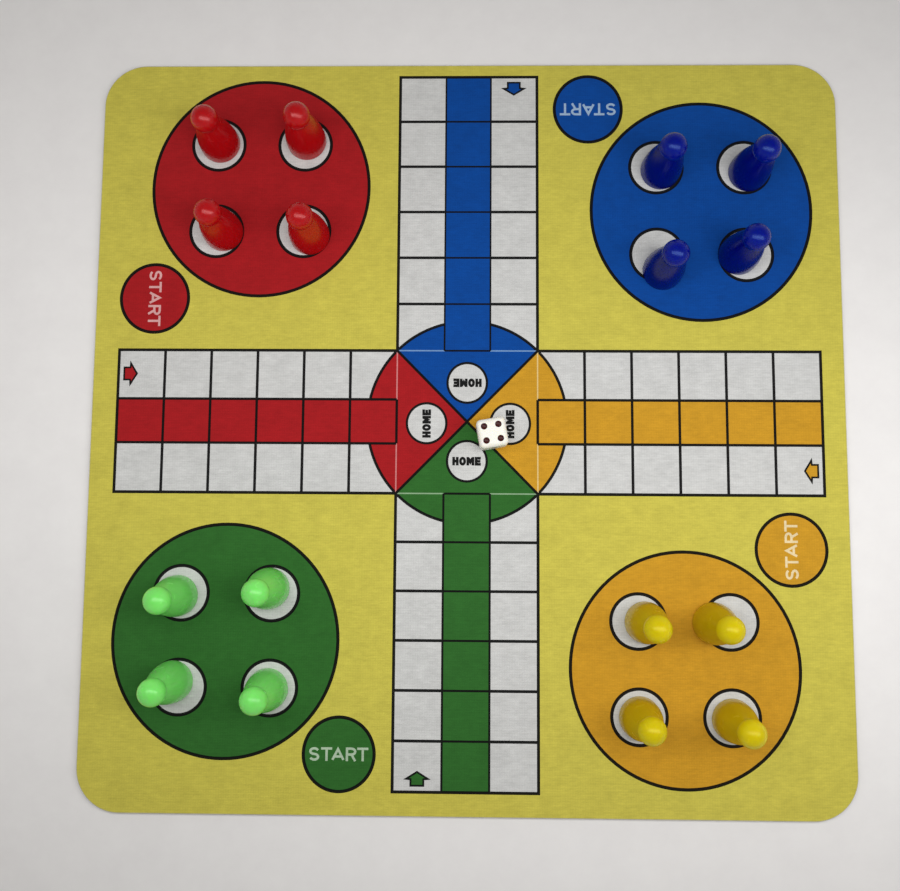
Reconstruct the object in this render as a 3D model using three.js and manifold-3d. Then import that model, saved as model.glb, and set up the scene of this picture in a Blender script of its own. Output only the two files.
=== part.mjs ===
// A ludo game set out for play: a printed cloth mat on a foam rubber base, four teams of four
// pawns standing on the spots of their yards, and one die near the centre of the print.
// Lengths are in millimetres and +Z is up. The origin is the centre of the mat's underside,
// +X runs to the right of the print and +Y to its far side.

import * as THREE from "three";
import { RoundedBoxGeometry } from "three/addons/geometries/RoundedBoxGeometry.js";
import { mergeVertices } from "three/addons/utils/BufferGeometryUtils.js";
import Module from "manifold-3d";

const wasm = await Module();
wasm.setup();

// Mat: a square sheet with round corners, cut through both layers at once.
const matSide = 280;
const matCornerRadius = 16;
const rubberThickness = 1.6;
const clothThickness = 0.4;
const cornerSegments = 5;

// Print: a cross of squares, 15 along each way, a little narrower than it is long and not
// quite centred on the mat. The loose pieces stand on it, so its places are worked out here.
const squaresAlong = 15;
const sideMargin = 9.2;
const endMargin = 6.7;
const printShiftX = 0.4;
const printShiftY = 1.9;

// Yards: a round one in each corner, and their centres repeat at each quarter turn of the
// print. The shares are of a square's pitch.
const yardNearShare = 4.525;
const yardFarShare = 5.03;
const spotReachShare = 0.952;
const spotRadius = 9.9;

// Pawn: a ball head on a bell-shaped body, moulded hollow from below with an even wall.
const pawnHeight = 25.8;
const headRadius = 4.85;
const neckRadius = 4.1;
const footRadius = 7.5;
const footRimHeight = 1.1;
const footEdgeRadius = 0.4;
const pawnWall = 2.1;
const shoulderHeightShare = 0.4;
const pawnSides = 18;
const headSteps = 6;
const bodySteps = 4;
const footEdgeSteps = 2;

// Die: a rounded cube with dimples for its spots.
const dieSide = 10.5;
const dieEdgeRadius = 1.7;
const dieEdgeSteps = 3;
const pipRadius = 1.2;
const pipDepth = 0.45;
const pipPitch = 2.6;
const pipSides = 12;
const pipRings = 10;
const dieXShare = 0.521;
const dieYShare = -0.278;
const dieTurnDegrees = 10;

const matThickness = rubberThickness + clothThickness;
const squarePitchX = (matSide - 2 * sideMargin) / squaresAlong;
const squarePitchY = (matSide - 2 * endMargin) / squaresAlong;

const finishes = {
  rubber: new THREE.MeshStandardMaterial({ color: "#8f8c7c", roughness: 0.9, metalness: 0 }),
  cloth: new THREE.MeshStandardMaterial({ color: "#c6bc52", roughness: 0.95, metalness: 0 }),
  die: new THREE.MeshStandardMaterial({ color: "#f4f2e6", roughness: 0.3, metalness: 0 }),
  red: new THREE.MeshStandardMaterial({ color: "#b01219", roughness: 0.2, metalness: 0 }),
  blue: new THREE.MeshStandardMaterial({ color: "#0c1590", roughness: 0.2, metalness: 0 }),
  green: new THREE.MeshStandardMaterial({ color: "#62d24e", roughness: 0.2, metalness: 0 }),
  yellow: new THREE.MeshStandardMaterial({ color: "#dccb1c", roughness: 0.2, metalness: 0 }),
};

// A team has its yard's centre and where its pawns stand, which is a little off their spots.
// The pawns run left to right and far to near, and their offsets are shares of a spot's radius.
const teams = {
  red: {
    yardShares: [-yardNearShare, yardFarShare],
    offsetShares: [[0.06, 0.04], [0.05, 0.15], [0.28, -0.04], [0.25, -0.18]],
  },
  blue: {
    yardShares: [yardFarShare, yardNearShare],
    offsetShares: [[0.16, -0.12], [0.14, -0.2], [0.19, -0.62], [-0.31, -0.03]],
  },
  green: {
    yardShares: [-yardFarShare, -yardNearShare],
    offsetShares: [[-0.13, -0.1], [-0.09, 0.19], [-0.21, 0.21], [-0.06, -0.04]],
  },
  yellow: {
    yardShares: [yardNearShare, -yardFarShare],
    offsetShares: [[0.25, -0.02], [-0.64, -0.03], [0.01, 0], [0, -0.05]],
  },
};
const spotCornerShares = [[-1, 1], [1, 1], [-1, -1], [1, -1]];

// The place on the mat of a point of the print, given in pitches from the print's centre.
function onPrint(xShare, yShare) {
  return new THREE.Vector2(
    printShiftX + xShare * squarePitchX,
    printShiftY + yShare * squarePitchY,
  );
}

function named(name, geometry, material) {
  const mesh = new THREE.Mesh(geometry, material);
  mesh.name = name;
  return mesh;
}

// A closed geometry as a solid that can be cut.
function solidOf(geometry) {
  const bare = geometry.clone();
  bare.deleteAttribute("normal");
  bare.deleteAttribute("uv");
  const merged = mergeVertices(bare);
  return new wasm.Manifold(
    new wasm.Mesh({
      numProp: 3,
      vertProperties: merged.getAttribute("position").array,
      triVerts: new Uint32Array(merged.index.array),
    }),
  );
}

function geometryOf(solid) {
  const mesh = solid.getMesh();
  const geometry = new THREE.BufferGeometry();
  geometry.setAttribute("position", new THREE.BufferAttribute(mesh.vertProperties, 3));
  geometry.setIndex(new THREE.BufferAttribute(mesh.triVerts, 1));
  geometry.computeVertexNormals();
  return geometry;
}

// The mat's outline, which both of its layers share.
function matOutline() {
  const half = matSide / 2;
  const straight = half - matCornerRadius;
  const outline = new THREE.Shape();
  outline.moveTo(-straight, -half);
  outline.lineTo(straight, -half);
  outline.absarc(straight, -straight, matCornerRadius, -Math.PI / 2, 0);
  outline.lineTo(half, straight);
  outline.absarc(straight, straight, matCornerRadius, 0, Math.PI / 2);
  outline.lineTo(-straight, half);
  outline.absarc(-straight, straight, matCornerRadius, Math.PI / 2, Math.PI);
  outline.lineTo(-half, -straight);
  outline.absarc(-straight, -straight, matCornerRadius, Math.PI, Math.PI * 1.5);
  return outline;
}

function matLayer(thickness) {
  return new THREE.ExtrudeGeometry(matOutline(), {
    depth: thickness,
    bevelEnabled: false,
    curveSegments: cornerSegments,
  });
}

// Half of the pawn's section, from the top of its hollow down the inner wall, out over the
// foot ring, and up the body and the neck round the head to the axis. The body rises straight
// from the foot and curves in to the neck.
function pawnProfile() {
  const headHeight = pawnHeight - headRadius;
  const neckAngle = -Math.acos(neckRadius / headRadius);
  const neckHeight = headHeight + headRadius * Math.sin(neckAngle);
  const shoulderHeight = footRimHeight + shoulderHeightShare * (neckHeight - footRimHeight);
  const body = new THREE.QuadraticBezierCurve(
    new THREE.Vector2(footRadius, footRimHeight),
    new THREE.Vector2(footRadius, shoulderHeight),
    new THREE.Vector2(neckRadius, neckHeight),
  ).getPoints(bodySteps);
  const inner = body.map((point) => new THREE.Vector2(point.x - pawnWall, point.y)).reverse();
  const footEdge = new THREE.EllipseCurve(
    footRadius - footEdgeRadius, footEdgeRadius,
    footEdgeRadius, footEdgeRadius,
    -Math.PI / 2, 0,
  ).getPoints(footEdgeSteps);
  const head = new THREE.EllipseCurve(
    0, headHeight,
    headRadius, headRadius,
    neckAngle, Math.PI / 2,
  ).getPoints(headSteps);
  const top = new THREE.Vector2(0, inner[0].y);
  const mouth = new THREE.Vector2(footRadius - pawnWall, 0);
  head[headSteps].x = 0;
  return [top, ...inner, mouth, ...footEdge, ...body.slice(0, -1), ...head];
}

function pawnGeometry() {
  const turned = new THREE.LatheGeometry(pawnProfile(), pawnSides);
  return turned.rotateX(Math.PI / 2);
}

// Where a face's dimples lie, in pip pitches across and along the face.
const pipShares = {
  1: [[0, 0]],
  2: [[-1, -1], [1, 1]],
  3: [[-1, -1], [0, 0], [1, 1]],
  4: [[-1, -1], [-1, 1], [1, -1], [1, 1]],
  5: [[-1, -1], [-1, 1], [0, 0], [1, -1], [1, 1]],
  6: [[-1, -1], [-1, 0], [-1, 1], [1, -1], [1, 0], [1, 1]],
};

// Each face by its outward axis. Opposite faces add up to seven, and the four is on top.
const dieFaces = [
  { count: 4, out: [0, 0, 1], across: [1, 0, 0] },
  { count: 3, out: [0, 0, -1], across: [1, 0, 0] },
  { count: 1, out: [0, -1, 0], across: [1, 0, 0] },
  { count: 6, out: [0, 1, 0], across: [1, 0, 0] },
  { count: 5, out: [1, 0, 0], across: [0, 1, 0] },
  { count: 2, out: [-1, 0, 0], across: [0, 1, 0] },
];

// A cube with all of its edges rounded, and a ball-shaped dimple cut for each spot.
function dieGeometry() {
  const ballRadius = (pipRadius ** 2 + pipDepth ** 2) / (2 * pipDepth);
  const ballHeight = dieSide / 2 - pipDepth + ballRadius;
  let die = solidOf(
    new RoundedBoxGeometry(dieSide, dieSide, dieSide, dieEdgeSteps, dieEdgeRadius),
  );
  for (const face of dieFaces) {
    const out = new THREE.Vector3(...face.out);
    const across = new THREE.Vector3(...face.across);
    const along = new THREE.Vector3().crossVectors(across, out);
    const axes = new THREE.Matrix4().makeBasis(across, out, along);
    for (const [acrossShare, alongShare] of pipShares[face.count]) {
      const ball = new THREE.SphereGeometry(ballRadius, pipSides, pipRings);
      ball.translate(acrossShare * pipPitch, ballHeight, alongShare * pipPitch);
      ball.applyMatrix4(axes);
      die = die.subtract(solidOf(ball));
    }
  }
  return geometryOf(die);
}

const ludo = new THREE.Group();

const rubberBase = named("rubber_base", matLayer(rubberThickness), finishes.rubber);
const clothTop = named("cloth_top", matLayer(clothThickness), finishes.cloth);
clothTop.position.z = rubberThickness;
ludo.add(rubberBase, clothTop);

const onMat = new THREE.Group();
onMat.position.z = matThickness;
ludo.add(onMat);

for (const [colour, team] of Object.entries(teams)) {
  spotCornerShares.forEach(([xSide, ySide], i) => {
    const spot = onPrint(
      team.yardShares[0] + xSide * spotReachShare,
      team.yardShares[1] + ySide * spotReachShare,
    );
    const [xOffsetShare, yOffsetShare] = team.offsetShares[i];
    const pawn = named(`${colour}_pawn_${i + 1}`, pawnGeometry(), finishes[colour]);
    pawn.position.x = spot.x + xOffsetShare * spotRadius;
    pawn.position.y = spot.y + yOffsetShare * spotRadius;
    onMat.add(pawn);
  });
}

const diePlace = onPrint(dieXShare, dieYShare);
const die = named("die", dieGeometry(), finishes.die);
die.position.set(diePlace.x, diePlace.y, dieSide / 2);
die.rotation.z = THREE.MathUtils.degToRad(dieTurnDegrees);
onMat.add(die);

export default ludo;
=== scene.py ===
# A ludo game set out for play: a printed cloth mat on foam rubber, four teams of four moulded
# pawns on the spots of their yards, and a die. The script follows the set as it is put
# together, and ends with the table, lamps and camera that show it. Lengths are in millimetres
# until a mesh or a node takes them in metres.
import math

import bmesh
import bpy
from mathutils import Euler, Matrix, Vector
from mathutils.geometry import delaunay_2d_cdt


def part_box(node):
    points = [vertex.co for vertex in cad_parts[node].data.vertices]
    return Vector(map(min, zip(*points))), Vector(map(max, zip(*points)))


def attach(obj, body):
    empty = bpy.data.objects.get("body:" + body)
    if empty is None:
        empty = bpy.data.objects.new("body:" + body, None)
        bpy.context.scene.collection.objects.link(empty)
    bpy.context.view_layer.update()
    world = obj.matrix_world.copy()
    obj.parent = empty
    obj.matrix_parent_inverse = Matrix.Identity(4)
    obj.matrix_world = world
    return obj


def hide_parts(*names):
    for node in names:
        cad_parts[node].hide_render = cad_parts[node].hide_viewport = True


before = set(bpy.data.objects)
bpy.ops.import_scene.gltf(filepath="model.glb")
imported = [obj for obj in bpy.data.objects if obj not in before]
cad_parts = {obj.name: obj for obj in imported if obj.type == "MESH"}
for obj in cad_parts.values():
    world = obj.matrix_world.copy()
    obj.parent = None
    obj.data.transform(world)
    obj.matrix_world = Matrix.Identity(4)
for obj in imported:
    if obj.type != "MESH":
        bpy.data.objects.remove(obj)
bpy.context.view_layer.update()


# Rubber base
# A sheet of foamed rubber that keeps the cloth flat and stops it from sliding. It is rolled
# against a fine waffle that its underside keeps, and its cut edge shows the foam's pores.
MM = 0.001
MAT_CORNER_RADIUS = 16.0
RUBBER_EDGE_ROUNDING = 0.35
RUBBER_EDGE_STEPS = 4
WAFFLE_PITCH = 2.4
WAFFLE_DEPTH = 0.25
PORE_SIZE = 0.7
PORE_DEPTH = 0.12
DUST_PATCH_SIZE = 25.0
RUBBER_DARK = "#A7A495"
RUBBER_LIGHT = "#BBB8AB"

rubber_low, rubber_high = (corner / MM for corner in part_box("rubber_base"))
mat_side = rubber_high.x - rubber_low.x


def linear(hex_colour):
    """An sRGB hex colour as linear red, green, blue and alpha."""
    shares = [int(hex_colour[i : i + 2], 16) / 255 for i in (1, 3, 5)]
    return (*(s / 12.92 if s <= 0.04045 else ((s + 0.055) / 1.055) ** 2.4 for s in shares), 1.0)


def add(tree, kind, settings, inputs):
    """Adds a node, sets its properties, and sets or links its inputs by name or place."""
    node = tree.nodes.new(kind)
    for name, value in settings.items():
        setattr(node, name, value)
    for name, value in inputs.items():
        if isinstance(value, bpy.types.NodeSocket):
            tree.links.new(value, node.inputs[name])
        else:
            node.inputs[name].default_value = value
    return node


def new_material(name):
    """A material with an empty node tree."""
    material = bpy.data.materials.new(name)
    material.use_nodes = True
    material.node_tree.nodes.clear()
    return material


def wave_scale(pitch):
    """The wave texture's scale for waves one pitch apart: it turns by 20 radians a unit."""
    return math.tau / (20 * pitch * MM)


def foam_rubber(name, waffled):
    """Foamed natural rubber: matt and a little dusty, with a soft sheen at low angles."""
    material = new_material(name)
    tree = material.node_tree
    place = add(tree, "ShaderNodeTexCoord", {}, {}).outputs["Object"]
    dust = add(
        tree,
        "ShaderNodeTexNoise",
        {},
        {"Vector": place, "Scale": 1 / (DUST_PATCH_SIZE * MM), "Detail": 4.0},
    )
    colour = add(
        tree,
        "ShaderNodeMix",
        {"data_type": "RGBA"},
        {"Factor": dust.outputs["Fac"], "A": linear(RUBBER_DARK), "B": linear(RUBBER_LIGHT)},
    )
    pores = add(
        tree, "ShaderNodeTexVoronoi", {}, {"Vector": place, "Scale": 1 / (PORE_SIZE * MM)}
    )
    relief = add(
        tree,
        "ShaderNodeBump",
        {},
        {"Height": pores.outputs["Distance"], "Distance": PORE_DEPTH * MM, "Strength": 0.6},
    )
    if waffled:
        # The waffle is two sets of rounded ridges that cross.
        rows, columns = (
            add(
                tree,
                "ShaderNodeTexWave",
                {"bands_direction": direction},
                {"Vector": place, "Scale": wave_scale(WAFFLE_PITCH)},
            )
            for direction in "XY"
        )
        waffle = add(
            tree,
            "ShaderNodeMath",
            {"operation": "MAXIMUM"},
            {0: rows.outputs["Fac"], 1: columns.outputs["Fac"]},
        )
        relief = add(
            tree,
            "ShaderNodeBump",
            {},
            {
                "Height": waffle.outputs["Value"],
                "Distance": WAFFLE_DEPTH * MM,
                "Strength": 1.0,
                "Normal": relief.outputs["Normal"],
            },
        )
    surface = add(
        tree,
        "ShaderNodeBsdfPrincipled",
        {},
        {
            "Base Color": colour.outputs["Result"],
            "Roughness": 0.85,
            "IOR": 1.52,
            "Specular IOR Level": 0.35,
            "Sheen Weight": 0.15,
            "Sheen Roughness": 0.6,
            "Normal": relief.outputs["Normal"],
        },
    )
    add(tree, "ShaderNodeOutputMaterial", {}, {"Surface": surface.outputs["BSDF"]})
    return material


def rounded_square(side, corner_radius, corner_steps=20):
    """The corners' arcs of a square centred on the origin, anticlockwise."""
    straight = side / 2 - corner_radius
    outline = []
    for quarter, (x_side, y_side) in enumerate([(1, 1), (-1, 1), (-1, -1), (1, -1)]):
        for step in range(corner_steps + 1):
            angle = math.radians(90 * (quarter + step / corner_steps))
            outline.append(
                Vector(
                    (
                        x_side * straight + corner_radius * math.cos(angle),
                        y_side * straight + corner_radius * math.sin(angle),
                    )
                )
            )
    return outline


def quarter_turn(steps):
    """The angles, in radians, that part a quarter turn into that many steps."""
    return [math.radians(90 * step / steps) for step in range(steps + 1)]


def rim_points(levels):
    """The mat's outline at each of levels, which are (inset, height), one loop after another."""
    return [
        Vector((place.x, place.y, height))
        for inset, height in levels
        for place in rounded_square(mat_side - 2 * inset, MAT_CORNER_RADIUS - inset)
    ]


def rim_faces(count, loops):
    """Faces between loops of count points that lie one above the other."""
    return [
        (
            below * count + i,
            below * count + (i + 1) % count,
            (below + 1) * count + (i + 1) % count,
            (below + 1) * count + i,
        )
        for below in range(loops - 1)
        for i in range(count)
    ]


def new_piece(name, points, faces, materials):
    """A piece made of points in millimetres."""
    mesh = bpy.data.meshes.new(name)
    mesh.from_pydata([place * MM for place in points], [], faces)
    for material in materials:
        mesh.materials.append(material)
    piece = bpy.data.objects.new(name, mesh)
    bpy.context.scene.collection.objects.link(piece)
    return piece


rubber_levels = [
    (RUBBER_EDGE_ROUNDING * (1 - math.sin(angle)), RUBBER_EDGE_ROUNDING * (1 - math.cos(angle)))
    for angle in quarter_turn(RUBBER_EDGE_STEPS)
]
rubber_levels.append((0.0, rubber_high.z))
outline_count = len(rounded_square(mat_side, MAT_CORNER_RADIUS))
underside = tuple(reversed(range(outline_count)))
upper_start = outline_count * (len(rubber_levels) - 1)
upper_face = tuple(range(upper_start, upper_start + outline_count))
rubber_sheet = new_piece(
    "foam_rubber_sheet",
    rim_points(rubber_levels),
    [underside, upper_face, *rim_faces(outline_count, len(rubber_levels))],
    [foam_rubber("foam_rubber_cut", False), foam_rubber("foam_rubber_waffled", True)],
)
rubber_sheet.data.polygons[0].material_index = 1
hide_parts("rubber_base")
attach(rubber_sheet, "mat")


# Print
# The game's track is dyed into the cloth: a cross of squares with a coloured lane in each arm,
# a yard and a start disc in each corner, and the home circle. Black is printed over the colours.
SQUARES_ALONG = 15
SIDE_MARGIN = 9.2
END_MARGIN = 6.7
PRINT_SHIFT = Vector((0.4, 1.9))
# The print's places and sizes that are named as shares count in squares of the track.
ARM_SQUARES = 6
ARM_HALF_SHARE = 1.5
ARM_END_SHARE = ARM_HALF_SHARE + ARM_SQUARES
LANE_HALF_SHARES = {"upright": 0.49, "level": 0.463}
OUTLINE_WIDTH = 1.2
ARM_LINE_WIDTH = 1.1
CELL_LINE_WIDTH = 1.06
DIAGONAL_LINE_WIDTH = 1.0
PALE_LINE_WIDTH = 0.5
PALE_LINE_THINNING = 0.45
HOME_OUTLINE_WIDTH = 0.9
YARD_SHARES = (-5.03, -4.525)
YARD_RADIUS_SHARE = 2.363
SPOT_REACH_SHARE = 0.952
SPOT_RADIUS = 9.9
START_SHARES = (-2.61, -6.775)
START_RADIUS_SHARE = 0.732
START_THINNING = 0.63
HOME_RADIUS_SHARE = 0.42
ARROW_SHARES = (-0.992, -7.24)
ARROW_OUTLINE_WIDTH = 0.7
ARROW_CORNERS = [
    (-2.3, -2.4),
    (2.3, -2.4),
    (2.3, -0.15),
    (3.9, 0.0),
    (0.0, 2.4),
    (-3.9, 0.0),
    (-2.3, -0.15),
]

pitch = Vector(
    ((mat_side - 2 * SIDE_MARGIN) / SQUARES_ALONG, (mat_side - 2 * END_MARGIN) / SQUARES_ALONG)
)

# Each team's arm is the green one, which points at the near side, turned by quarter turns.
# The home discs aren't quite as far from the centre as each other, and home_quarter turns the
# word on one.
teams = {
    "green": {"quarter": 0, "ink": "#316A2B", "home": (0.0, -0.825), "home_quarter": 0},
    "yellow": {"quarter": 1, "ink": "#D09A28", "home": (0.915, -0.04), "home_quarter": 1},
    "blue": {"quarter": 2, "ink": "#05489B", "home": (0.0, 0.82), "home_quarter": 2},
    "red": {"quarter": 3, "ink": "#AA1B20", "home": (-0.86, -0.035), "home_quarter": 1},
}
# The deeper dyes creep into the black lines round and across their lanes, and thin them.
LANE_LINE_WIDTHS = {"green": 0.8, "yellow": 1.0, "blue": 0.67, "red": 0.97}
GROUND_INK = "#D0C553"
WHITE_INK = "#D3D3D1"
BARE_CLOTH = "#FFFFFA"
BLACK_INK = "#0B0B0B"


def turned(shares, quarter):
    """A place given in shares of a square, turned about the centre by quarter turns."""
    x, y = shares
    for _ in range(quarter % 4):
        x, y = -y, x
    return Vector((x, y))


def on_print(shares):
    """A place given in shares of a square, as a place on the mat."""
    return PRINT_SHIFT + Vector((shares[0] * pitch.x, shares[1] * pitch.y))


def ellipse(centre, radii, steps=96):
    """Points round an ellipse, anticlockwise."""
    return [
        centre + Vector((radii[0] * math.cos(angle), radii[1] * math.sin(angle)))
        for angle in (math.tau * step / steps for step in range(steps))
    ]


def band(points, width, closed=False):
    """The loops round a line of that width, with mitred corners."""
    count = len(points)
    sides = {1: [], -1: []}
    for i, place in enumerate(points):
        before = points[i - 1] if closed or i > 0 else None
        after = points[(i + 1) % count] if closed or i < count - 1 else None
        ways = [w.normalized() for w in (before and place - before, after and after - place) if w]
        along = sum(ways, Vector((0, 0))).normalized()
        across = Vector((-along.y, along.x)) * (width / 2 / along.dot(ways[0]))
        for side in sides:
            sides[side].append(place + across * side)
    if closed:
        return [sides[1], sides[-1]]
    return [sides[1] + sides[-1][::-1]]


artwork = []


def draw(ink, loops):
    """Adds a shape to the print, over those before it. Ink None is black."""
    corners = [place for loop in loops for place in loop]
    artwork.append(
        {
            "ink": ink,
            "loops": loops,
            "low": (min(p.x for p in corners), min(p.y for p in corners)),
            "high": (max(p.x for p in corners), max(p.y for p in corners)),
        }
    )


def line(start, end, width, quarter, ink=None):
    """A printed line between two places given in shares of a square."""
    ends = [on_print(turned(place, quarter)) for place in (start, end)]
    draw(ink, band(ends, width))


def disc(ink, shares, radii, outline_width=OUTLINE_WIDTH):
    """A printed disc with a black outline."""
    outline = ellipse(on_print(shares), radii)
    draw(ink, [outline])
    draw(None, band(outline, outline_width, closed=True))


def rectangle(ink, low, high, quarter):
    """A printed rectangle between two corners given in shares of a square."""
    corners = [low, (high[0], low[1]), high, (low[0], high[1])]
    draw(ink, [[on_print(turned(corner, quarter)) for corner in corners]])


def tint(ink, share):
    """An ink thinned until that share of the bare cloth shows, as a hex colour."""
    parts = [int(ink[i : i + 2], 16) for i in (1, 3, 5)]
    bare = [int(BARE_CLOTH[i : i + 2], 16) for i in (1, 3, 5)]
    return "#" + "".join(f"{round(p + (b - p) * share):02X}" for p, b in zip(parts, bare))


def arc(centre, radii, start, end, steps):
    """Points on an ellipse between two angles in degrees."""
    angles = [math.radians(start + (end - start) * step / steps) for step in range(steps + 1)]
    return [
        (centre[0] + radii[0] * math.cos(angle), centre[1] + radii[1] * math.sin(angle))
        for angle in angles
    ]


# The words on the start and home discs: the height of the letters, the width of their strokes
# and the gap after each letter but the last.
words = {
    "START": {"height": 3.95, "stroke": 0.85, "gaps": (0.6, -0.3, 0.4, 0.25)},
    "HOME": {"height": 2.25, "stroke": 1.0, "gaps": (0.16, 0.16, 0.16)},
}
# Each letter's width beside its height, and its strokes in a box one unit wide and tall.
bowl = arc((0.55, 0.74), (0.45, 0.26), 90, -90, steps=6)
letters = {
    "A": (1.0, [[(0, 0), (0.5, 0.95), (1, 0)], [(0.19, 0.3), (0.81, 0.3)]]),
    "E": (0.65, [[(1.2, 1), (0, 1), (0, 0), (1.2, 0)], [(0, 0.5), (1.1, 0.5)]]),
    "H": (0.6, [[(0, -0.2), (0, 1.2)], [(1, -0.2), (1, 1.2)], [(0, 0.5), (1, 0.5)]]),
    "M": (0.84, [[(0, -0.2), (0, 1.2)], [(0.1, 1), (0.5, 0.35), (0.9, 1)], [(1, 1.2), (1, -0.2)]]),
    "O": (0.7, [arc((0.5, 0.5), (0.5, 0.5), 0, 360, steps=20)[:-1]]),
    "R": (0.76, [[(0, -0.1), (0, 1.1)], [(0, 1), *bowl, (0, 0.48)], [(0.55, 0.48), (1, -0.1)]]),
    "S": (
        0.72,
        [
            arc((0.5, 0.75), (0.5, 0.25), 20, 270, steps=9)
            + arc((0.5, 0.25), (0.5, 0.25), 90, -160, steps=9)[1:]
        ],
    ),
    "T": (0.8, [[(-0.13, 1), (1.13, 1)], [(0.5, 1), (0.5, -0.1)]]),
}


def write(ink, word, centre, quarter):
    """Draws a word, turned by quarter turns about its centre."""
    height, stroke, gaps = (words[word][name] for name in ("height", "stroke", "gaps"))
    widths = [letters[character][0] * height for character in word]
    left = -(sum(widths) + sum(gaps) + stroke * (len(word) - 1)) / 2
    for character, width, gap in zip(word, widths, [*gaps, 0]):
        for points in letters[character][1]:
            places = [
                centre + turned((left + x * width, (y - 0.5) * height), quarter)
                for x, y in points
            ]
            draw(ink, band(places, stroke, closed=character == "O"))
        left += width + gap + stroke


for colour, team in teams.items():
    quarter, ink = team["quarter"], team["ink"]
    lane_half = LANE_HALF_SHARES["level" if quarter % 2 else "upright"]

    yard = turned(YARD_SHARES, quarter)
    disc(ink, yard, YARD_RADIUS_SHARE * pitch)
    for x_side in (-1, 1):
        for y_side in (-1, 1):
            spot = yard + SPOT_REACH_SHARE * Vector((x_side, y_side))
            disc(WHITE_INK, spot, (SPOT_RADIUS, SPOT_RADIUS))

    start = turned(START_SHARES, quarter)
    disc(ink, start, START_RADIUS_SHARE * pitch)
    write(tint(ink, START_THINNING), "START", on_print(start), quarter)

    # The arm's white squares, the home circle's sector over them, and the lane over both.
    rectangle(
        WHITE_INK, (-ARM_HALF_SHARE, -ARM_END_SHARE), (ARM_HALF_SHARE, -ARM_HALF_SHARE), quarter
    )
    home_radius = math.sqrt(2) * ARM_HALF_SHARE
    sector_rim = arc((0, 0), (home_radius, home_radius), -135, -45, steps=30)
    rim = [on_print(turned(place, quarter)) for place in sector_rim]
    draw(ink, [[on_print((0, 0)), *rim]])
    draw(None, band(rim, CELL_LINE_WIDTH))
    # Beside the lane, the sector's first line is pale instead of black.
    for side in (-1, 1):
        pale_ends = [(side * x, -ARM_HALF_SHARE) for x in (lane_half, ARM_HALF_SHARE)]
        line(*pale_ends, PALE_LINE_WIDTH, quarter, tint(ink, PALE_LINE_THINNING))
    rectangle(ink, (-lane_half, -ARM_END_SHARE), (lane_half, -ARM_HALF_SHARE), quarter)

    for square in range(ARM_SQUARES):
        y = -ARM_HALF_SHARE - square
        line((-lane_half, y), (lane_half, y), LANE_LINE_WIDTHS[colour], quarter)
        if square > 0:
            for side in (-1, 1):
                line((side * lane_half, y), (side * ARM_HALF_SHARE, y), CELL_LINE_WIDTH, quarter)
    for side in (-1, 1):
        lane_side = [(side * lane_half, y) for y in (-ARM_HALF_SHARE, -ARM_END_SHARE)]
        line(*lane_side, LANE_LINE_WIDTHS[colour], quarter)
    arm_outline = [
        (-ARM_HALF_SHARE, -ARM_HALF_SHARE),
        (-ARM_HALF_SHARE, -ARM_END_SHARE),
        (ARM_HALF_SHARE, -ARM_END_SHARE),
        (ARM_HALF_SHARE, -ARM_HALF_SHARE),
    ]
    draw(None, band([on_print(turned(place, quarter)) for place in arm_outline], ARM_LINE_WIDTH))

# Over all four sectors go the lines between them and the home discs. A short, wide arrow
# shows which way to enter each arm.
for team in teams.values():
    quarter = team["quarter"]
    line((0, 0), (-ARM_HALF_SHARE, -ARM_HALF_SHARE), DIAGONAL_LINE_WIDTH, quarter)
    disc(WHITE_INK, team["home"], HOME_RADIUS_SHARE * pitch, HOME_OUTLINE_WIDTH)
    write(None, "HOME", on_print(team["home"]), team["home_quarter"])
    arrow_place = on_print(turned(ARROW_SHARES, quarter))
    arrow = [arrow_place + turned(corner, quarter) for corner in ARROW_CORNERS]
    draw(team["ink"], [arrow])
    draw(None, band(arrow, ARROW_OUTLINE_WIDTH, closed=True))


# Printed cloth
# Woven polyester, dyed with the print before it is bonded to the rubber and cut with it. The
# inks have no thickness and share the weave; the cut edge is a little crushed and paler.
CLOTH_EDGE_ROUNDING = 0.3
CLOTH_EDGE_STEPS = 3
THREAD_PITCH = 0.9
THREAD_RELIEF = 0.04
SLUB_LENGTH = 3.0
SLUB_WIDTH = 0.8
BLOTCH_SIZE = 6.0
# How far the threads' painted light and shade, the slubs and the blotches darken and lighten the
# dyes.
THREAD_PAINTED_SHADES = (0.955, 1.03)
SLUB_SHADES = (0.9, 1.07)
BLOTCH_SHADES = (0.91, 1.03)
CUT_EDGE_INK = "#C9C49C"
BLACK_COVER = 0.99
SPLIT_TOLERANCE = 0.0001

cloth_low, cloth_high = (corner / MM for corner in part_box("cloth_top"))


def inside(place, shape):
    """Whether a place lies in a shape, by counting the sides crossed on the way out of it."""
    if not all(shape["low"][k] <= place[k] <= shape["high"][k] for k in (0, 1)):
        return False
    crossings = 0
    for loop in shape["loops"]:
        for i, a in enumerate(loop):
            b = loop[i - 1]
            if (a.y > place.y) != (b.y > place.y):
                crossings += place.x < a.x + (place.y - a.y) * (b.x - a.x) / (b.y - a.y)
    return crossings % 2 == 1


def inked(place):
    """The linear colour of the print at a place. Black takes a little of what is under it."""
    under, black = GROUND_INK, False
    for shape in artwork:
        if inside(place, shape):
            black = shape["ink"] is None
            under = shape["ink"] or under
    if not black:
        return linear(under)
    pairs = zip(linear(BLACK_INK), linear(under))
    return tuple(BLACK_COVER * over + (1 - BLACK_COVER) * below for over, below in pairs)


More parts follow.
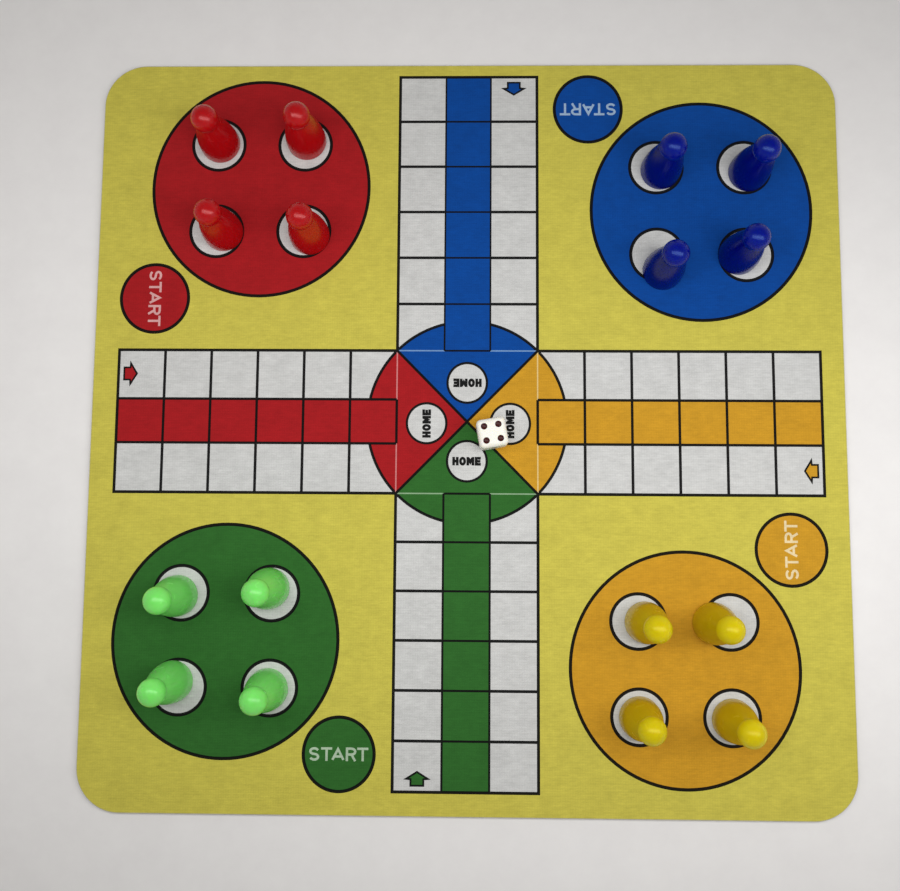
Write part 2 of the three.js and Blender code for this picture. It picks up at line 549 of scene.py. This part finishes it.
def printed_faces(outline):
    """(places, faces, the outline's points) of a flat sheet, split along the print's edges."""
    loops = [outline] + [loop for shape in artwork for loop in shape["loops"]]
    points, edges = [], []
    for loop in loops:
        first = len(points)
        points += loop
        edges += [(first + i, first + (i + 1) % len(loop)) for i in range(len(loop))]
    places, _, faces, origins, _, _ = delaunay_2d_cdt(points, edges, [], 0, SPLIT_TOLERANCE)
    rim = [0] * len(outline)
    for made, sources in enumerate(origins):
        for source in sources:
            if source < len(outline):
                rim[source] = made
    return places, faces, rim


def dyed_polyester():
    """Plain-woven polyester, matt with a faint sheen: threads pass over and under in turn."""
    material = new_material("polyester_cloth_dye_printed")
    tree = material.node_tree
    place = add(tree, "ShaderNodeTexCoord", {}, {}).outputs["Object"]
    ink = add(tree, "ShaderNodeAttribute", {"attribute_name": "ink"}, {})
    # The real threads are about 0.4 mm apart, too fine to show, so they are drawn wider.
    warp, weft = (
        add(
            tree,
            "ShaderNodeTexWave",
            {"bands_direction": direction},
            {
                "Vector": place,
                "Scale": wave_scale(THREAD_PITCH),
                "Distortion": 1.2,
                "Detail Scale": 2.0,
            },
        )
        for direction in "XY"
    )
    over = add(
        tree,
        "ShaderNodeTexChecker",
        {},
        {
            "Vector": place,
            "Scale": 1 / (THREAD_PITCH * MM),
            "Color1": (1, 1, 1, 1),
            "Color2": (0, 0, 0, 1),
        },
    )
    weave = add(
        tree,
        "ShaderNodeMix",
        {"data_type": "FLOAT"},
        {"Factor": over.outputs["Fac"], "A": weft.outputs["Fac"], "B": warp.outputs["Fac"]},
    )
    # The dyes are lighter on the threads' crests and darker in the dips between them: painted light
    # and shade that follow the weave's height.
    thread_painted_shade = add(
        tree,
        "ShaderNodeMapRange",
        {},
        {
            "Value": weave.outputs["Result"],
            "To Min": THREAD_PAINTED_SHADES[0],
            "To Max": THREAD_PAINTED_SHADES[1],
        },
    )
    # The yarn is uneven along its length, and takes the dye unevenly from place to place.
    along_weft = add(
        tree,
        "ShaderNodeVectorMath",
        {"operation": "MULTIPLY"},
        {0: place, 1: (1 / (SLUB_LENGTH * MM), 1 / (SLUB_WIDTH * MM), 1 / (SLUB_WIDTH * MM))},
    )
    slubs = add(
        tree,
        "ShaderNodeTexNoise",
        {},
        {"Vector": along_weft.outputs["Vector"], "Scale": 1.0, "Detail": 3.0, "Roughness": 0.7},
    )
    slub_shade = add(
        tree,
        "ShaderNodeMapRange",
        {},
        {
            "Value": slubs.outputs["Fac"],
            "From Min": 0.3,
            "From Max": 0.7,
            "To Min": SLUB_SHADES[0],
            "To Max": SLUB_SHADES[1],
        },
    )
    blotches = add(
        tree,
        "ShaderNodeTexNoise",
        {},
        {"Vector": place, "Scale": 1 / (BLOTCH_SIZE * MM), "Detail": 4.0, "Roughness": 0.65},
    )
    blotch_shade = add(
        tree,
        "ShaderNodeMapRange",
        {},
        {
            "Value": blotches.outputs["Fac"],
            "From Min": 0.3,
            "From Max": 0.7,
            "To Min": BLOTCH_SHADES[0],
            "To Max": BLOTCH_SHADES[1],
        },
    )
    slub_tone_and_painted_shade = add(
        tree,
        "ShaderNodeMath",
        {"operation": "MULTIPLY"},
        {0: thread_painted_shade.outputs["Result"], 1: slub_shade.outputs["Result"]},
    )
    shade = add(
        tree,
        "ShaderNodeMath",
        {"operation": "MULTIPLY"},
        {0: slub_tone_and_painted_shade.outputs["Value"], 1: blotch_shade.outputs["Result"]},
    )
    colour = add(
        tree,
        "ShaderNodeVectorMath",
        {"operation": "SCALE"},
        {0: ink.outputs["Color"], "Scale": shade.outputs["Value"]},
    )
    relief = add(
        tree,
        "ShaderNodeBump",
        {},
        {
            "Height": weave.outputs["Result"],
            "Distance": THREAD_RELIEF * MM,
            "Strength": 0.5,
        },
    )
    surface = add(
        tree,
        "ShaderNodeBsdfPrincipled",
        {},
        {
            "Base Color": colour.outputs["Vector"],
            "Roughness": 0.8,
            "Specular IOR Level": 0.12,
            "Sheen Weight": 0.03,
            "Sheen Roughness": 0.5,
            "Normal": relief.outputs["Normal"],
        },
    )
    add(tree, "ShaderNodeOutputMaterial", {}, {"Surface": surface.outputs["BSDF"]})
    return material


cloth_levels = [(0.0, cloth_low.z)] + [
    (
        CLOTH_EDGE_ROUNDING * (1 - math.cos(angle)),
        cloth_high.z - CLOTH_EDGE_ROUNDING * (1 - math.sin(angle)),
    )
    for angle in quarter_turn(CLOTH_EDGE_STEPS)
]
top_outline = rounded_square(
    mat_side - 2 * CLOTH_EDGE_ROUNDING, MAT_CORNER_RADIUS - CLOTH_EDGE_ROUNDING
)
places, top_faces, top_rim = printed_faces(top_outline)
rim_start = len(places)
rim_places = rim_points(cloth_levels[:-1])
rim_ids = [rim_start + i for i in range(len(rim_places))] + top_rim
edge_faces = [
    tuple(rim_ids[corner] for corner in face)
    for face in rim_faces(outline_count, len(cloth_levels))
]
cloth = new_piece(
    "printed_cloth",
    [Vector((*place, cloth_high.z)) for place in places] + rim_places,
    [*top_faces, *edge_faces],
    [dyed_polyester()],
)
dyes = []
for face in cloth.data.polygons:
    if face.index < len(top_faces):
        colour = inked(face.center.xy / MM)
    else:
        colour = linear(CUT_EDGE_INK)
        face.use_smooth = True
    dyes += colour * face.loop_total
ink_layer = cloth.data.attributes.new("ink", "FLOAT_COLOR", "CORNER")
ink_layer.data.foreach_set("color", dyes)
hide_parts("cloth_top")
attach(cloth, "mat")


# Pawns
# Sixteen pawns, injection moulded in tinted polystyrene in a satin mould, and hollow from
# below so that they cool evenly. Each stands loose on its foot ring near its team's spot.
HEAD_RADIUS = 4.85
NECK_RADIUS = 4.1
FOOT_RIM_HEIGHT = 1.1
FOOT_EDGE_RADIUS = 0.4
PAWN_WALL = 2.1
SHOULDER_HEIGHT_SHARE = 0.4
PAWN_SIDES = 72
BODY_STEPS = 24
HEAD_STEPS = 28
FOOT_EDGE_STEPS = 6
SHARP_DEGREES = 35
PAWN_TURN_DEGREES = 70
FLOW_SIZE = 5.0
RIPPLE_DEPTH = 0.02
# Where the body's painted shade holds fully, and where it has faded into the head's colour.
PAINTED_SHADE_FULL_TOP = 17.5
PAINTED_SHADE_FADE_TOP = 19.5

# Each plastic's colour in the head and a darker copy for the body, which is painted shade on its
# steep sides, the tint and the strength of its gloss, and how far light spreads in it.
plastics = {
    "red": {"head": "#BA0A12", "body": "#B60A12", "tint": "#FFC2C2", "gloss": 0.5, "glow": 1.5},
    "blue": {"head": "#020F8A", "body": "#010675", "tint": "#9CC6FF", "gloss": 0.38, "glow": 1.5},
    "green": {"head": "#87EE74", "body": "#83E672", "tint": "#DCFFDC", "gloss": 0.45, "glow": 3.0},
    "yellow": {"head": "#D9C60E", "body": "#C3A80C", "tint": "#FFFA94", "gloss": 0.38, "glow": 3.0},
}


def pawn_section(foot_radius, height):
    """Half of the pawn's section as (radius, height), from the top of its hollow to its crown."""
    head_height = height - HEAD_RADIUS
    neck_angle = -math.acos(NECK_RADIUS / HEAD_RADIUS)
    foot = Vector((foot_radius, FOOT_RIM_HEIGHT))
    neck = Vector((NECK_RADIUS, head_height + HEAD_RADIUS * math.sin(neck_angle)))
    shoulder = Vector((foot.x, foot.y + SHOULDER_HEIGHT_SHARE * (neck.y - foot.y)))
    # The body rises straight from the foot and curves in to the neck.
    body = [
        foot * (1 - t) ** 2 + shoulder * (2 * t * (1 - t)) + neck * t**2
        for t in (step / BODY_STEPS for step in range(BODY_STEPS + 1))
    ]
    inner = [(point.x - PAWN_WALL, point.y) for point in reversed(body)]
    edge_centre = (foot_radius - FOOT_EDGE_RADIUS, FOOT_EDGE_RADIUS)
    foot_edge = arc(edge_centre, (FOOT_EDGE_RADIUS,) * 2, -90, 0, FOOT_EDGE_STEPS)
    head = arc((0, head_height), (HEAD_RADIUS,) * 2, math.degrees(neck_angle), 90, HEAD_STEPS)
    mouth = (foot_radius - PAWN_WALL, 0)
    outer = [tuple(point) for point in body[:-1]]
    return [(0, inner[0][1]), *inner, mouth, *foot_edge, *outer, *head[:-1], (0, height)]


def moulded_polystyrene(colour, plastic):
    """Tinted polystyrene from a satin mould: a soft gloss, and it glows where light enters it."""
    material = new_material(f"polystyrene_moulded_{colour}")
    tree = material.node_tree
    place = add(tree, "ShaderNodeTexCoord", {}, {}).outputs["Object"]
    flow = add(
        tree,
        "ShaderNodeTexNoise",
        {},
        {"Vector": place, "Scale": 1 / (FLOW_SIZE * MM), "Detail": 2.0, "Distortion": 0.3},
    )
    tone = add(
        tree,
        "ShaderNodeMapRange",
        {"interpolation_type": "SMOOTHSTEP"},
        {"Value": flow.outputs["Fac"], "From Min": 0.1, "From Max": 0.9, "To Min": 0.9},
    )
    # Below the neck the plastic takes its darker body colour: painted shade for the steep sides,
    # which catch less light from above than the head.
    height = add(tree, "ShaderNodeSeparateXYZ", {}, {"Vector": place})
    unshaded_share = add(
        tree,
        "ShaderNodeMapRange",
        {"interpolation_type": "SMOOTHSTEP"},
        {
            "Value": height.outputs["Z"],
            "From Min": PAINTED_SHADE_FULL_TOP * MM,
            "From Max": PAINTED_SHADE_FADE_TOP * MM,
        },
    )
    plastic_with_painted_shade = add(
        tree,
        "ShaderNodeMix",
        {"data_type": "RGBA"},
        {
            "Factor": unshaded_share.outputs["Result"],
            "A": linear(plastic["body"]),
            "B": linear(plastic["head"]),
        },
    )
    tinted = add(
        tree,
        "ShaderNodeVectorMath",
        {"operation": "SCALE"},
        {0: plastic_with_painted_shade.outputs["Result"], "Scale": tone.outputs["Result"]},
    )
    roughness = add(
        tree,
        "ShaderNodeMapRange",
        {},
        {"Value": flow.outputs["Fac"], "To Min": 0.22, "To Max": 0.3},
    )
    ripple = add(
        tree,
        "ShaderNodeBump",
        {},
        {"Height": flow.outputs["Fac"], "Distance": RIPPLE_DEPTH * MM, "Strength": 0.5},
    )
    surface = add(
        tree,
        "ShaderNodeBsdfPrincipled",
        {},
        {
            "Base Color": tinted.outputs["Vector"],
            "Roughness": roughness.outputs["Result"],
            "IOR": 1.59,
            "Specular IOR Level": plastic["gloss"],
            "Specular Tint": linear(plastic["tint"]),
            "Subsurface Weight": 0.6,
            "Subsurface Radius": linear(plastic["head"])[:3],
            "Subsurface Scale": plastic["glow"] * MM,
            "Normal": ripple.outputs["Normal"],
        },
    )
    add(tree, "ShaderNodeOutputMaterial", {}, {"Surface": surface.outputs["BSDF"]})
    return material


def turned_piece(name, section, sides, material):
    """A piece of revolution, from a section that starts and ends on the axis."""
    rings = section[1:-1]
    points = [
        Vector((radius * math.cos(angle), radius * math.sin(angle), height))
        for radius, height in rings
        for angle in (math.tau * side / sides for side in range(sides))
    ]
    first_tip, last_tip = len(points), len(points) + 1
    points += [Vector((0, 0, section[0][1])), Vector((0, 0, section[-1][1]))]
    last_ring = (len(rings) - 1) * sides
    faces = rim_faces(sides, len(rings))
    for i in range(sides):
        after = (i + 1) % sides
        faces += [(first_tip, after, i), (last_tip, last_ring + i, last_ring + after)]
    piece = new_piece(name, points, faces, [material])
    piece.data.polygons.foreach_set("use_smooth", [True] * len(piece.data.polygons))
    piece.data.set_sharp_from_angle(angle=math.radians(SHARP_DEGREES))
    return piece


for colour, plastic in plastics.items():
    polystyrene = moulded_polystyrene(colour, plastic)
    for number in range(1, 5):
        node = f"{colour}_pawn_{number}"
        low, high = (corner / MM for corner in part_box(node))
        section = pawn_section((high.y - low.y) / 2, high.z - low.z)
        pawn = turned_piece(f"{colour}_pawn_moulding_{number}", section, PAWN_SIDES, polystyrene)
        pawn.location = Vector(((low.x + high.x) / 2, (low.y + high.y) / 2, low.z)) * MM
        pawn.rotation_euler.z = math.radians(PAWN_TURN_DEGREES * number)
        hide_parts(node)
        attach(pawn, node)


# Die
# A small die of ivory-white acrylic, tumbled until its edges are round. Its spots are
# ball-shaped dimples filled with dark paint, four on top and opposite faces adding to seven.
DIE_EDGE_RADIUS = 1.7
PIP_RADIUS = 1.2
PIP_DEPTH = 0.45
PIP_PITCH = 2.6
DIE_TURN_DEGREES = 10
SCUFF_SIZE = 1.5
ACRYLIC_GLOW = 1.0
ACRYLIC_DARK = "#F1EEE3"
ACRYLIC_LIGHT = "#FBF9F1"
PAINT_POOL_SIZE = 0.6
PAINT_DARK = "#320D0E"
PAINT_LIGHT = "#4A1818"

pip_shares = {
    1: [(0, 0)],
    2: [(-1, -1), (1, 1)],
    3: [(-1, -1), (0, 0), (1, 1)],
    4: [(-1, -1), (-1, 1), (1, -1), (1, 1)],
    5: [(-1, -1), (-1, 1), (0, 0), (1, -1), (1, 1)],
    6: [(-1, -1), (-1, 0), (-1, 1), (1, -1), (1, 0), (1, 1)],
}
# Each face by its outward axis, and the axis that its dimples are counted along.
die_faces = [
    (4, Vector((0, 0, 1)), Vector((1, 0, 0))),
    (3, Vector((0, 0, -1)), Vector((1, 0, 0))),
    (1, Vector((0, -1, 0)), Vector((1, 0, 0))),
    (6, Vector((0, 1, 0)), Vector((1, 0, 0))),
    (5, Vector((1, 0, 0)), Vector((0, 1, 0))),
    (2, Vector((-1, 0, 0)), Vector((0, 1, 0))),
]


def acrylic():
    """Ivory-white cast acrylic: a tumbled gloss with a soft glow under it."""
    material = new_material("acrylic_tumbled_ivory")
    tree = material.node_tree
    place = add(tree, "ShaderNodeTexCoord", {}, {}).outputs["Object"]
    scuffs = add(
        tree,
        "ShaderNodeTexNoise",
        {},
        {"Vector": place, "Scale": 1 / (SCUFF_SIZE * MM), "Detail": 6.0},
    )
    colour = add(
        tree,
        "ShaderNodeMix",
        {"data_type": "RGBA"},
        {"Factor": scuffs.outputs["Fac"], "A": linear(ACRYLIC_DARK), "B": linear(ACRYLIC_LIGHT)},
    )
    roughness = add(
        tree,
        "ShaderNodeMapRange",
        {},
        {"Value": scuffs.outputs["Fac"], "To Min": 0.35, "To Max": 0.5},
    )
    surface = add(
        tree,
        "ShaderNodeBsdfPrincipled",
        {},
        {
            "Base Color": colour.outputs["Result"],
            "Roughness": roughness.outputs["Result"],
            "IOR": 1.49,
            "Subsurface Weight": 0.3,
            "Subsurface Radius": (1.0, 0.9, 0.7),
            "Subsurface Scale": ACRYLIC_GLOW * MM,
        },
    )
    add(tree, "ShaderNodeOutputMaterial", {}, {"Surface": surface.outputs["BSDF"]})
    return material


def pip_paint():
    """Dark red enamel, wiped into the dimples: it lies a little darker in some patches than others.
    """
    material = new_material("enamel_wiped_maroon")
    tree = material.node_tree
    place = add(tree, "ShaderNodeTexCoord", {}, {}).outputs["Object"]
    pooled = add(
        tree,
        "ShaderNodeTexNoise",
        {},
        {"Vector": place, "Scale": 1 / (PAINT_POOL_SIZE * MM), "Detail": 3.0},
    )
    colour = add(
        tree,
        "ShaderNodeMix",
        {"data_type": "RGBA"},
        {"Factor": pooled.outputs["Fac"], "A": linear(PAINT_DARK), "B": linear(PAINT_LIGHT)},
    )
    surface = add(
        tree,
        "ShaderNodeBsdfPrincipled",
        {},
        {
            "Base Color": colour.outputs["Result"],
            "Roughness": 0.35,
            "Specular IOR Level": 0.25,
        },
    )
    add(tree, "ShaderNodeOutputMaterial", {}, {"Surface": surface.outputs["BSDF"]})
    return material


die_low, die_high = (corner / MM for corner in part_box("die"))
die_side = die_high.z - die_low.z

block = bmesh.new()
bmesh.ops.create_cube(block, size=die_side * MM)
bmesh.ops.bevel(
    block,
    geom=block.verts[:] + block.edges[:],
    offset=DIE_EDGE_RADIUS * MM,
    segments=8,
    profile=0.5,
    affect="EDGES",
)
die = new_piece("acrylic_die", [], [], [acrylic(), pip_paint()])
block.to_mesh(die.data)
block.free()

ball_radius = (PIP_RADIUS**2 + PIP_DEPTH**2) / (2 * PIP_DEPTH)
ball_height = die_side / 2 - PIP_DEPTH + ball_radius
balls = bmesh.new()
for count, out, across in die_faces:
    along = across.cross(out)
    facing = out.to_track_quat("Z", "Y").to_matrix().to_4x4()
    for across_share, along_share in pip_shares[count]:
        centre = out * ball_height + (across * across_share + along * along_share) * PIP_PITCH
        bmesh.ops.create_uvsphere(
            balls,
            u_segments=32,
            v_segments=24,
            radius=ball_radius * MM,
            matrix=Matrix.Translation(centre * MM) @ facing,
        )
for face in balls.faces:
    face.material_index = 1
cutter = new_piece("pip_balls", [], [], [])
balls.to_mesh(cutter.data)
balls.free()

dimples = die.modifiers.new("dimples", "BOOLEAN")
dimples.object = cutter
dimples.solver = "EXACT"
die.modifiers.new("flat faces", "WEIGHTED_NORMAL").keep_sharp = True
bpy.context.view_layer.update()
dimpled = die.evaluated_get(bpy.context.evaluated_depsgraph_get())
dimpled_mesh = bpy.data.meshes.new_from_object(dimpled)
die.modifiers.clear()
die.data = dimpled_mesh
bpy.data.objects.remove(cutter)
die.location = (die_low + die_high) / 2 * MM
die.rotation_euler.z = math.radians(DIE_TURN_DEGREES)
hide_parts("die")
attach(die, "die")


# Table
# A pale laminate table, wide enough to fill every view. It isn't part of the set, and lies a
# hair below the mat so that the two faces don't share a plane.
TABLE_SIDE = 30000.0
TABLE_GAP = 0.05
CLOUD_SIZE = 15.0
LAMINATE_DARK = "#ECE9E8"
LAMINATE_LIGHT = "#F9F7F5"

table_points = [
    Vector((x * TABLE_SIDE / 2, y * TABLE_SIDE / 2, -TABLE_GAP))
    for x, y in [(-1, -1), (1, -1), (1, 1), (-1, 1)]
]
# Melamine laminate pressed against a matt plate: faintly cloudy, and it reflects nothing clearly.
laminate = new_material("laminate_matt_pale")
tree = laminate.node_tree
clouds = add(
    tree,
    "ShaderNodeTexNoise",
    {},
    {
        "Vector": add(tree, "ShaderNodeTexCoord", {}, {}).outputs["Object"],
        "Scale": 1 / (CLOUD_SIZE * MM),
        "Detail": 6.0,
        "Roughness": 0.7,
    },
)
shade = add(
    tree,
    "ShaderNodeMix",
    {"data_type": "RGBA"},
    {"Factor": clouds.outputs["Fac"], "A": linear(LAMINATE_DARK), "B": linear(LAMINATE_LIGHT)},
)
surface = add(
    tree,
    "ShaderNodeBsdfPrincipled",
    {},
    {"Base Color": shade.outputs["Result"], "Roughness": 0.6, "Specular IOR Level": 0.2},
)
add(tree, "ShaderNodeOutputMaterial", {}, {"Surface": surface.outputs["BSDF"]})
table = new_piece("table_top", table_points, [(0, 1, 2, 3)], [laminate])


# Lamps
# One long soft lamp hangs across the mat, a little to its right. The room's pale walls fill in
# from low down, and its ceiling is dim.
LAMP_PLACE = Vector((33.0, -16.0, 260.0))
LAMP_LENGTH = 560.0
LAMP_WIDTH = 120.0
LAMP_TURN_DEGREES = -8
LAMP_WATTS = 0.84
WALL_LEVEL = 0.6
CEILING_LEVEL = 0.2
CEILING_SINE = 0.7
ROOM_COLOUR = "#FFFDFA"

lamp_data = bpy.data.lights.new("soft_lamp", "AREA")
lamp_data.shape = "RECTANGLE"
lamp_data.size = LAMP_LENGTH * MM
lamp_data.size_y = LAMP_WIDTH * MM
lamp_data.energy = LAMP_WATTS
lamp = bpy.data.objects.new("soft_lamp", lamp_data)
bpy.context.scene.collection.objects.link(lamp)
lamp.location = LAMP_PLACE * MM
# It faces the mat's middle, with its length nearly along the mat's width.
aim = LAMP_PLACE.normalized()
tilt = Euler((-math.asin(aim.y), math.atan2(aim.x, aim.z), 0.0)).to_matrix()
turn = Matrix.Rotation(math.radians(LAMP_TURN_DEGREES), 3, "Z")
lamp.rotation_euler = (tilt @ turn).to_euler()
lamp.visible_camera = False

room = bpy.data.worlds.new("pale_room")
room.use_nodes = True
bpy.context.scene.world = room
tree = room.node_tree
tree.nodes.clear()
direction = add(tree, "ShaderNodeTexCoord", {}, {}).outputs["Generated"]
height = add(tree, "ShaderNodeSeparateXYZ", {}, {"Vector": direction})
level = add(
    tree,
    "ShaderNodeMapRange",
    {},
    {
        "Value": height.outputs["Z"],
        "From Max": CEILING_SINE,
        "To Min": WALL_LEVEL,
        "To Max": CEILING_LEVEL,
    },
)
walls = add(
    tree,
    "ShaderNodeBackground",
    {},
    {"Color": linear(ROOM_COLOUR), "Strength": level.outputs["Result"]},
)
add(tree, "ShaderNodeOutputWorld", {}, {"Surface": walls.outputs["Background"]})
bpy.context.scene.view_settings.view_transform = "Standard"


# Camera
# It looks down on the mat from just nearer than its middle, tilted by a few degrees.
CAMERA_PLACE = Vector((-0.21, -35.18, 318.66))
CAMERA_TILT_DEGREES = (5.096, 0.988, 0.383)
CAMERA_LENS = 34.38
SENSOR_WIDTH = 36.0

camera_data = bpy.data.cameras.new("view_from_above")
camera_data.lens = CAMERA_LENS
camera_data.sensor_width = SENSOR_WIDTH
camera_data.clip_start = 0.01
camera = bpy.data.objects.new("view_from_above", camera_data)
bpy.context.scene.collection.objects.link(camera)
camera.location = CAMERA_PLACE * MM
camera.rotation_euler = [math.radians(angle) for angle in CAMERA_TILT_DEGREES]
bpy.context.scene.camera = camera
